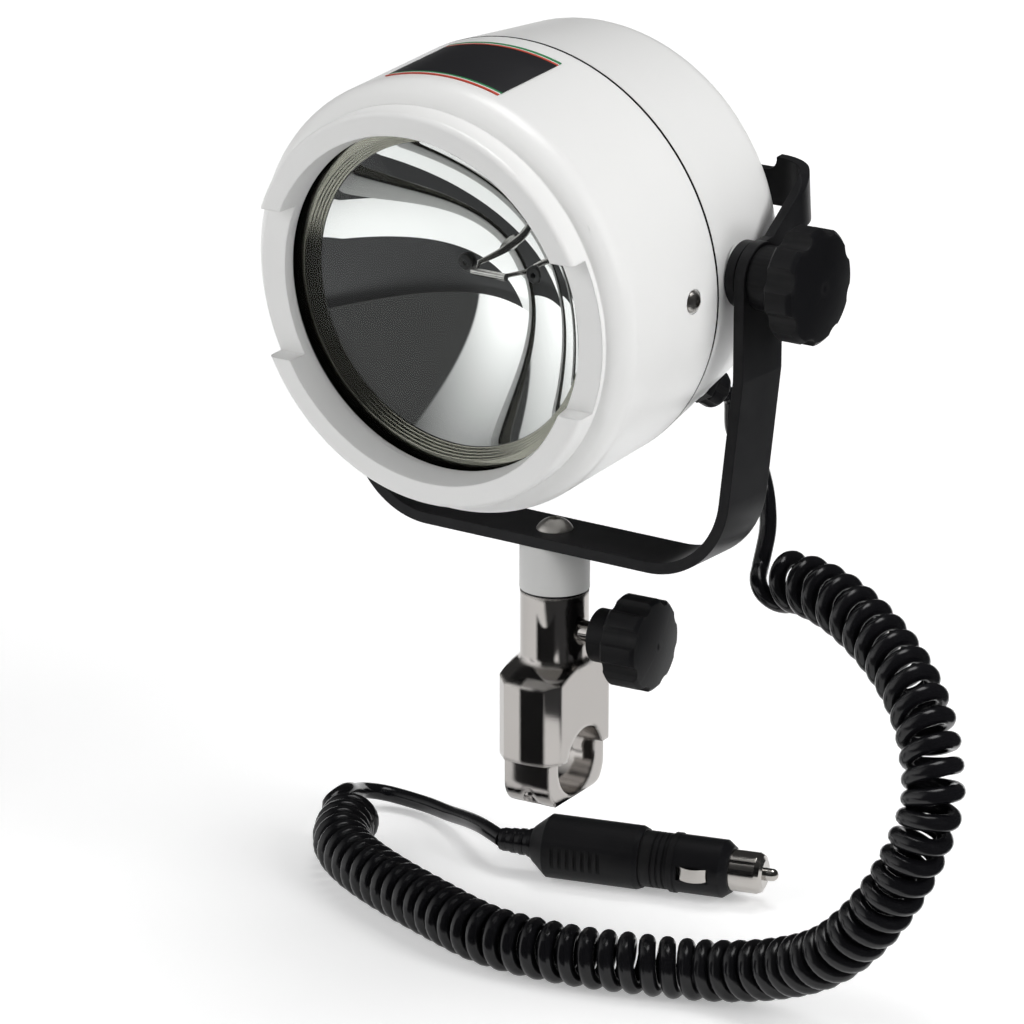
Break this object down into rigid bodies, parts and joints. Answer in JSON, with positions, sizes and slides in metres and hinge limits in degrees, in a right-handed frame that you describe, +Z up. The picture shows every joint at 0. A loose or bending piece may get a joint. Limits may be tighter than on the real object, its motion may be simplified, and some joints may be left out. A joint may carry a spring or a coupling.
{
  "type": "marine searchlight",
  "caption": "Round white marine searchlight in a tilting U-yoke that pans in a rail-clamp socket, with star knobs, a rear handle, a curly cord and a 12 volt plug.",
  "frame": {"origin": "on the rail's axis in the middle of the clamp, under the socket", "axes": "+X along the rail, towards the pan knob; +Z up the socket; the beam leaves along -Y"},
  "size_m": [0.2966, 0.1498, 0.3234],
  "materials": {
    "stainless": "polished stainless steel",
    "grey_plastic": "moulded, satin",
    "black_rubber": "smooth, slightly glossy",
    "black_paint": "satin black coating",
    "white_plastic": "glossy white moulding",
    "clear_glass": "clear pressed glass",
    "mirror_coat": "bright metallised bowl",
    "ceramic": "ceramic",
    "lamp_wire": "drawn wire",
    "brass": "machined",
    "lead_cover": "wire insulation",
    "fibre": "friction washer",
    "black_plastic": "moulded, satin",
    "nickel": "nickel plated",
    "fuse_body": "glass tube fuse"
  },
  "bodies": {
    "clamp": {"clamp_body": "stainless", "clamp_cap": "stainless", "clamp_screws": "stainless"},
    "yoke": {"yoke": "black_paint", "spigot": "grey_plastic", "spigot_screw": "stainless", "pan_washer": "black_rubber", "cord_pigtail": "black_rubber", "cord_coil": "black_rubber", "cord_tail": "black_rubber", "plug_boot": "black_rubber", "plug_grip": "black_plastic", "plug_nose": "black_plastic", "plug_tip": "nickel", "plug_spring": "stainless", "plug_fuse": "fuse_body"},
    "head": {"front_shell": "white_plastic", "rear_shell": "white_plastic", "seam_gasket": "black_rubber", "shell_screws": "stainless", "lamp_gasket": "black_rubber", "lens_glass": "clear_glass", "reflector": "mirror_coat", "lamp_ring": "stainless", "ring_screws": "stainless", "lamp_base": "ceramic", "filament_posts": "lamp_wire", "filament": "lamp_wire", "lamp_terminals": "brass", "lead_wires": "lead_cover", "pivot_inserts": "brass", "rear_handle": "black_paint", "tilt_washers": "fibre", "gland_body": "black_plastic", "gland_nut": "black_plastic", "gland_dome": "black_plastic"},
    "left_tilt_knob": {"left_tilt_knob": "black_plastic", "left_tilt_stud": "stainless"},
    "right_tilt_knob": {"right_tilt_knob": "black_plastic", "right_tilt_stud": "stainless"},
    "pan_knob": {"pan_knob": "black_plastic", "pan_stud": "stainless"},
    "plug_pin": {"plug_pin": "nickel"},
    "plug_contact_left": {"plug_contact_left": "nickel"},
    "plug_contact_right": {"plug_contact_right": "nickel"}
  },
  "joints": [
    {"name": "pan", "type": "hinge", "parent": "clamp", "child": "yoke", "pos_m": [0, 0, 0.062], "axis": [0, 0, 1], "range_deg": [-170, 170]},
    {"name": "tilt", "type": "hinge", "parent": "yoke", "child": "head", "pos_m": [0, 0, 0.188], "axis": [0.9976, -0.0698, 0], "range_deg": [-65, 33], "deforming": ["cord_pigtail"]},
    {"name": "right_tilt_knob_turn", "type": "hinge", "parent": "head", "child": "right_tilt_knob", "pos_m": [0, 0, 0.188], "axis": [0.9976, -0.0698, 0], "range_deg": [0, 360]},
    {"name": "left_tilt_knob_turn", "type": "hinge", "parent": "head", "child": "left_tilt_knob", "pos_m": [0, 0, 0.188], "axis": [-0.9976, 0.0698, 0], "range_deg": [0, 360]},
    {"name": "pan_knob_turn", "type": "hinge", "parent": "clamp", "child": "pan_knob", "pos_m": [0.02, 0, 0.048], "axis": [1, 0, 0], "range_deg": [0, 360]},
    {"name": "plug_pin_press", "type": "slide", "parent": "yoke", "child": "plug_pin", "axis": [0.9816, 0.1908, 0], "range_m": [-0.004, 0], "stiffness_N_per_m": 900, "springref_m": 0.003, "deforming": ["plug_spring"]},
    {"name": "plug_contact_left_press", "type": "slide", "parent": "yoke", "child": "plug_contact_left", "axis": [-0.1908, 0.9816, 0], "range_m": [-0.0008, 0], "stiffness_N_per_m": 2500, "springref_m": 0.0005},
    {"name": "plug_contact_right_press", "type": "slide", "parent": "yoke", "child": "plug_contact_right", "axis": [0.1908, -0.9816, 0], "range_m": [-0.0008, 0], "stiffness_N_per_m": 2500, "springref_m": 0.0005}
  ]
}
